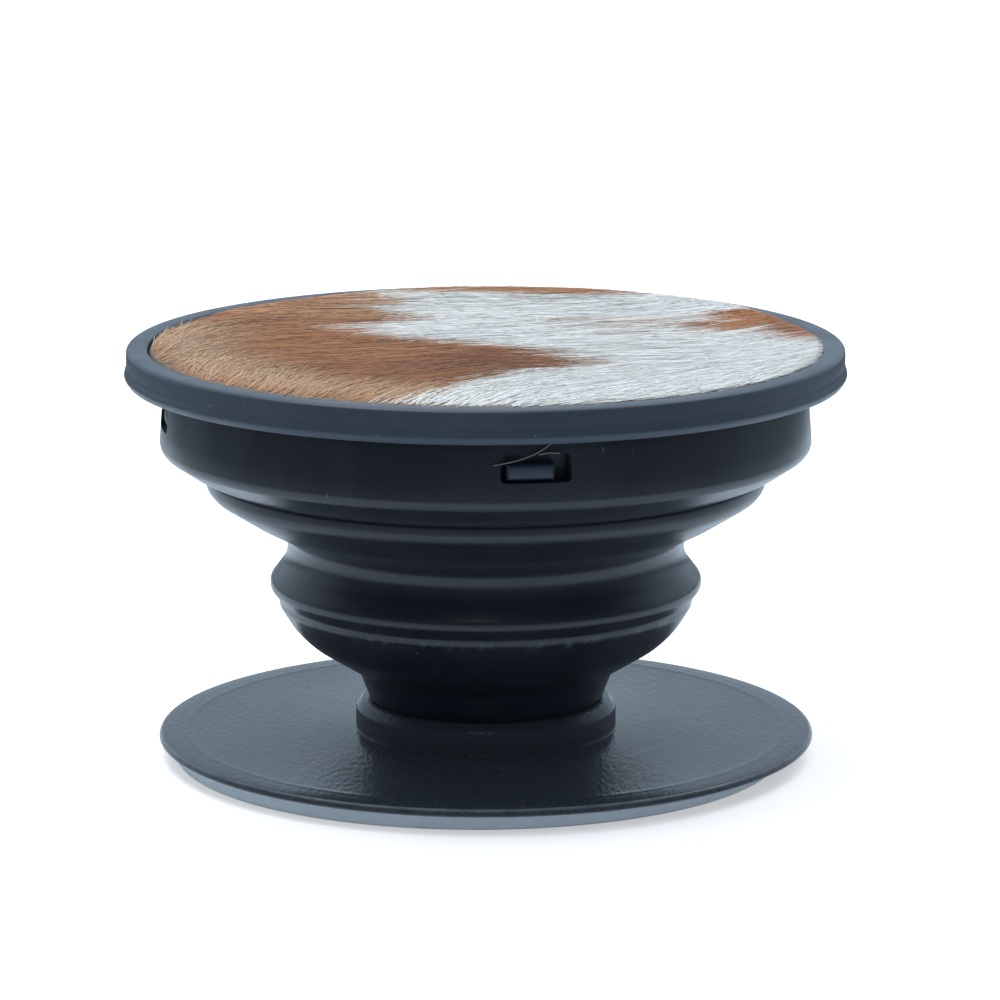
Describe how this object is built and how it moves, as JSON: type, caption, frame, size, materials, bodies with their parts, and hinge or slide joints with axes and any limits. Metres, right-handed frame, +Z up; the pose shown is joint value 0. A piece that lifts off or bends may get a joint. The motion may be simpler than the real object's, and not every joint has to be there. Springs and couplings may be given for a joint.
{
  "type": "collapsible phone grip",
  "caption": "Round pop-up grip for the back of a phone: hair-on hide disc on a soft folding stem that turns on an adhesive base plate.",
  "frame": {"origin": "centre of the bounding box's lowest face: the adhesive face, on the grip's axis", "axes": "+Z up along the grip's axis from the phone towards the disc, -Y towards the viewer of the picture"},
  "size_m": [0.0404, 0.0404, 0.0234],
  "materials": {
    "pad_gel": "matte gel",
    "base_plastic": "finely textured",
    "soft_plastic": "satin",
    "rim_plastic": "satin",
    "hide": "hair-on, brown and white"
  },
  "bodies": {
    "base": {"base_plate": "base_plastic", "adhesive_pad": "pad_gel"},
    "stem": {"accordion": "soft_plastic"},
    "head": {"top_plate": "rim_plastic", "hide_inlay": "hide"}
  },
  "joints": [
    {"name": "swivel", "type": "hinge", "parent": "base", "child": "stem", "pos_m": [0, 0, 0.0033], "axis": [0, 0, 1], "continuous": true},
    {"name": "collapse", "type": "slide", "parent": "stem", "child": "head", "axis": [0, 0, -1], "range_m": [0, 0.0157], "deforming": ["accordion"]}
  ]
}
